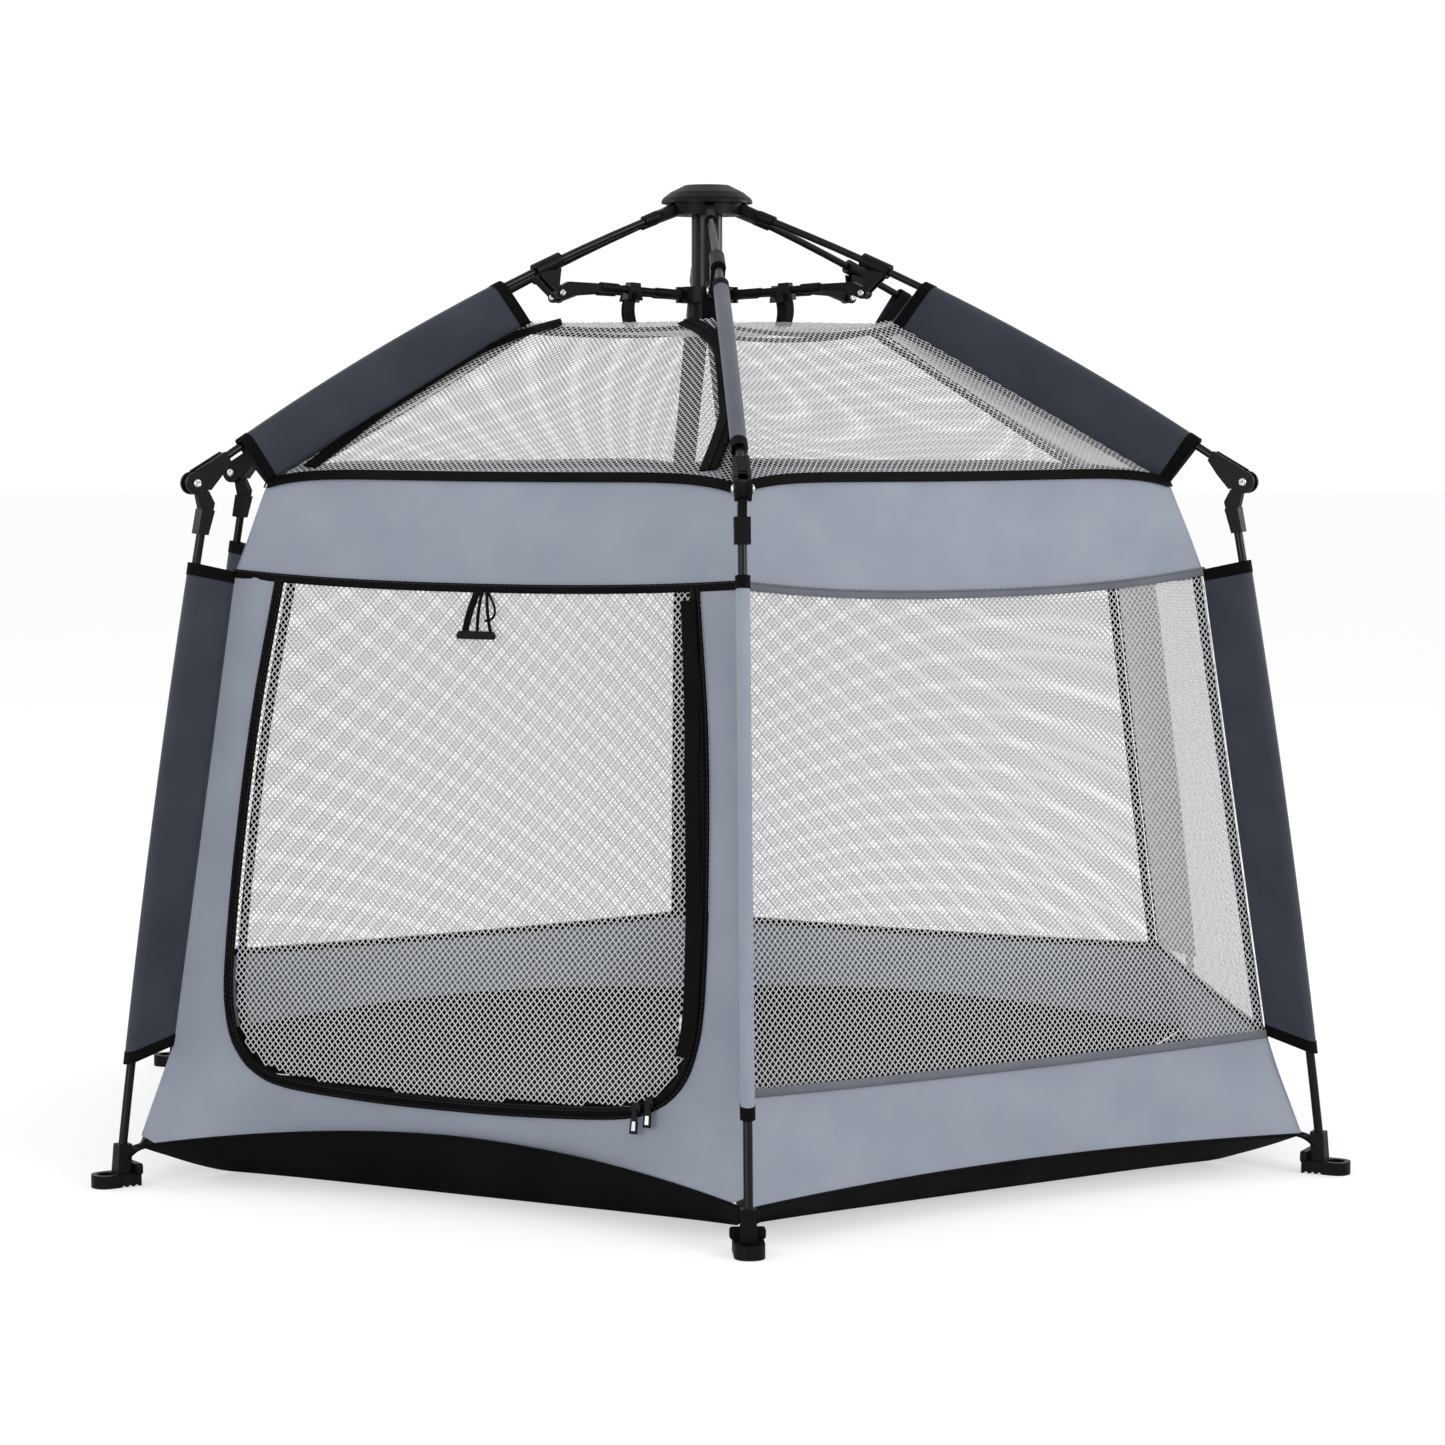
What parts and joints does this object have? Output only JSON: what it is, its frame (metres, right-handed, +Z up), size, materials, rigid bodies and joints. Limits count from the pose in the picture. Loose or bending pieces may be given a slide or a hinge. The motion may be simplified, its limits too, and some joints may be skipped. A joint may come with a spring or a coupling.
{
  "type": "playpen",
  "caption": "Hexagonal pop-up playpen: netting tent with grey bands, zipped netting door and roof flap, hung in a folding black umbrella frame with stake feet.",
  "frame": {"origin": "floor level under the centre post, at the middle of the hexagon", "axes": "+Z up along the post; -Y towards the front corner of the hexagon; +X to the right of it"},
  "size_m": [1.2794, 1.472, 1.021],
  "materials": {
    "black_plastic": "semi-gloss moulded",
    "black_rod": "smooth glass-fibre rod",
    "post_metal": "black satin tube",
    "black_cloth": "coated woven cloth",
    "grey_cloth": "smooth woven cloth",
    "netting": "fine knitted netting",
    "sleeve_cloth": "dark woven cloth",
    "webbing": "black woven tape"
  },
  "bodies": {
    "tent_and_hub": {"hub_cap": "black_plastic", "hub_body": "black_plastic", "centre_post": "post_metal", "post_end_plug": "black_plastic", "floor_tray": "black_cloth", "lower_bands": "grey_cloth", "window_nets": "netting", "upper_bands": "grey_cloth", "roof_nets": "netting", "top_net": "netting", "door_zip_tape": "webbing", "top_straps": "webbing", "foot_straps": "webbing"},
    "runner_body": {"runner": "black_plastic"},
    "door": {"door_net": "netting", "toggle_tie": "black_plastic"},
    "flap": {"roof_flap": "netting"},
    "sliders": {"zip_sliders": "black_plastic"},
    "arm_front": {"roof_rod_front": "black_rod", "roof_fittings_front": "black_plastic", "roof_sleeve_front": "sleeve_cloth"},
    "leg_front": {"leg_rod_front": "black_rod", "leg_fittings_front": "black_plastic", "leg_sleeve_front": "sleeve_cloth"},
    "strut_body_front": {"strut_front": "black_rod"},
    "arm_front_right": {"roof_rod_front_right": "black_rod", "roof_fittings_front_right": "black_plastic", "roof_sleeve_front_right": "sleeve_cloth"},
    "leg_front_right": {"leg_rod_front_right": "black_rod", "leg_fittings_front_right": "black_plastic", "leg_sleeve_front_right": "sleeve_cloth"},
    "strut_body_front_right": {"strut_front_right": "black_rod"},
    "arm_back_right": {"roof_rod_back_right": "black_rod", "roof_fittings_back_right": "black_plastic", "roof_sleeve_back_right": "sleeve_cloth"},
    "leg_back_right": {"leg_rod_back_right": "black_rod", "leg_fittings_back_right": "black_plastic", "leg_sleeve_back_right": "sleeve_cloth"},
    "strut_body_back_right": {"strut_back_right": "black_rod"},
    "arm_back": {"roof_rod_back": "black_rod", "roof_fittings_back": "black_plastic", "roof_sleeve_back": "sleeve_cloth"},
    "leg_back": {"leg_rod_back": "black_rod", "leg_fittings_back": "black_plastic", "leg_sleeve_back": "sleeve_cloth"},
    "strut_body_back": {"strut_back": "black_rod"},
    "arm_back_left": {"roof_rod_back_left": "black_rod", "roof_fittings_back_left": "black_plastic", "roof_sleeve_back_left": "sleeve_cloth"},
    "leg_back_left": {"leg_rod_back_left": "black_rod", "leg_fittings_back_left": "black_plastic", "leg_sleeve_back_left": "sleeve_cloth"},
    "strut_body_back_left": {"strut_back_left": "black_rod"},
    "arm_front_left": {"roof_rod_front_left": "black_rod", "roof_fittings_front_left": "black_plastic", "roof_sleeve_front_left": "sleeve_cloth"},
    "leg_front_left": {"leg_rod_front_left": "black_rod", "leg_fittings_front_left": "black_plastic", "leg_sleeve_front_left": "sleeve_cloth"},
    "strut_body_front_left": {"strut_front_left": "black_rod"}
  },
  "joints": [
    {"name": "canopy_fold", "type": "hinge", "parent": "tent_and_hub", "child": "arm_front", "pos_m": [0, -0.036, 0.996], "axis": [1, 0, 0], "range_deg": [0, 56], "deforming": ["floor_tray", "lower_bands", "window_nets", "upper_bands", "roof_nets", "top_net", "door_net", "door_zip_tape", "roof_flap", "top_straps", "foot_straps"]},
    {"name": "arm_fold_front_right", "type": "hinge", "parent": "tent_and_hub", "child": "arm_front_right", "pos_m": [0.03118, -0.018, 0.996], "axis": [0.5, 0.866, 0], "range_deg": [0, 56]},
    {"name": "arm_fold_back_right", "type": "hinge", "parent": "tent_and_hub", "child": "arm_back_right", "pos_m": [0.03118, 0.018, 0.996], "axis": [-0.5, 0.866, 0], "range_deg": [0, 56]},
    {"name": "arm_fold_back", "type": "hinge", "parent": "tent_and_hub", "child": "arm_back", "pos_m": [0, 0.036, 0.996], "axis": [-1, 0, 0], "range_deg": [0, 56]},
    {"name": "arm_fold_back_left", "type": "hinge", "parent": "tent_and_hub", "child": "arm_back_left", "pos_m": [-0.03118, 0.018, 0.996], "axis": [-0.5, -0.866, 0], "range_deg": [0, 56]},
    {"name": "arm_fold_front_left", "type": "hinge", "parent": "tent_and_hub", "child": "arm_front_left", "pos_m": [-0.03118, -0.018, 0.996], "axis": [0.5, -0.866, 0], "range_deg": [0, 56]},
    {"name": "runner_slide", "type": "slide", "parent": "tent_and_hub", "child": "runner_body", "axis": [0, 0, 1], "range_m": [0, 0.07471]},
    {"name": "strut_fold_front", "type": "hinge", "parent": "runner_body", "child": "strut_body_front", "pos_m": [0, -0.028, 0.902], "axis": [1, 0, 0], "range_deg": [0, 84.6]},
    {"name": "strut_fold_front_right", "type": "hinge", "parent": "runner_body", "child": "strut_body_front_right", "pos_m": [0.02425, -0.014, 0.902], "axis": [0.5, 0.866, 0], "range_deg": [0, 84.6]},
    {"name": "strut_fold_back_right", "type": "hinge", "parent": "runner_body", "child": "strut_body_back_right", "pos_m": [0.02425, 0.014, 0.902], "axis": [-0.5, 0.866, 0], "range_deg": [0, 84.6]},
    {"name": "strut_fold_back", "type": "hinge", "parent": "runner_body", "child": "strut_body_back", "pos_m": [0, 0.028, 0.902], "axis": [-1, 0, 0], "range_deg": [0, 84.6]},
    {"name": "strut_fold_back_left", "type": "hinge", "parent": "runner_body", "child": "strut_body_back_left", "pos_m": [-0.02425, 0.014, 0.902], "axis": [-0.5, -0.866, 0], "range_deg": [0, 84.6]},
    {"name": "strut_fold_front_left", "type": "hinge", "parent": "runner_body", "child": "strut_body_front_left", "pos_m": [-0.02425, -0.014, 0.902], "axis": [0.5, -0.866, 0], "range_deg": [0, 84.6]},
    {"name": "leg_fold_front", "type": "hinge", "parent": "arm_front", "child": "leg_front", "pos_m": [0, -0.616, 0.705], "axis": [-1, 0, 0], "range_deg": [0, 221]},
    {"name": "leg_fold_front_right", "type": "hinge", "parent": "arm_front_right", "child": "leg_front_right", "pos_m": [0.53347, -0.308, 0.705], "axis": [-0.5, -0.866, 0], "range_deg": [0, 221]},
    {"name": "leg_fold_back_right", "type": "hinge", "parent": "arm_back_right", "child": "leg_back_right", "pos_m": [0.53347, 0.308, 0.705], "axis": [0.5, -0.866, 0], "range_deg": [0, 221]},
    {"name": "leg_fold_back", "type": "hinge", "parent": "arm_back", "child": "leg_back", "pos_m": [0, 0.616, 0.705], "axis": [1, 0, 0], "range_deg": [0, 221]},
    {"name": "leg_fold_back_left", "type": "hinge", "parent": "arm_back_left", "child": "leg_back_left", "pos_m": [-0.53347, 0.308, 0.705], "axis": [0.5, 0.866, 0], "range_deg": [0, 221]},
    {"name": "leg_fold_front_left", "type": "hinge", "parent": "arm_front_left", "child": "leg_front_left", "pos_m": [-0.53347, -0.308, 0.705], "axis": [-0.5, 0.866, 0], "range_deg": [0, 221]},
    {"name": "door_swing", "type": "hinge", "parent": "tent_and_hub", "child": "door", "pos_m": [-0.24812, -0.42976, 0.606], "axis": [-0.866, 0.5, 0], "range_deg": [0, 95]},
    {"name": "roof_flap_swing", "type": "hinge", "parent": "tent_and_hub", "child": "flap", "pos_m": [-0.21575, -0.37369, 0.7225], "axis": [0.866, -0.5, 0], "range_deg": [0, 165]},
    {"name": "zip_slide", "type": "slide", "parent": "tent_and_hub", "child": "sliders", "axis": [-0.866, 0.5, 0], "range_m": [0, 0.3]}
  ],
  "couplings": [
    {"joint": "arm_fold_front_right", "follows": "canopy_fold", "ratio": 1},
    {"joint": "arm_fold_back_right", "follows": "canopy_fold", "ratio": 1},
    {"joint": "arm_fold_back", "follows": "canopy_fold", "ratio": 1},
    {"joint": "arm_fold_back_left", "follows": "canopy_fold", "ratio": 1},
    {"joint": "arm_fold_front_left", "follows": "canopy_fold", "ratio": 1},
    {"joint": "runner_slide", "follows": "canopy_fold", "m_per_rad": 0.07644},
    {"joint": "strut_fold_front", "follows": "canopy_fold", "ratio": 1.5106},
    {"joint": "strut_fold_front_right", "follows": "canopy_fold", "ratio": 1.5106},
    {"joint": "strut_fold_back_right", "follows": "canopy_fold", "ratio": 1.5106},
    {"joint": "strut_fold_back", "follows": "canopy_fold", "ratio": 1.5106},
    {"joint": "strut_fold_back_left", "follows": "canopy_fold", "ratio": 1.5106},
    {"joint": "strut_fold_front_left", "follows": "canopy_fold", "ratio": 1.5106},
    {"joint": "leg_fold_front", "follows": "canopy_fold", "ratio": 3.9464},
    {"joint": "leg_fold_front_right", "follows": "canopy_fold", "ratio": 3.9464},
    {"joint": "leg_fold_back_right", "follows": "canopy_fold", "ratio": 3.9464},
    {"joint": "leg_fold_back", "follows": "canopy_fold", "ratio": 3.9464},
    {"joint": "leg_fold_back_left", "follows": "canopy_fold", "ratio": 3.9464},
    {"joint": "leg_fold_front_left", "follows": "canopy_fold", "ratio": 3.9464}
  ]
}
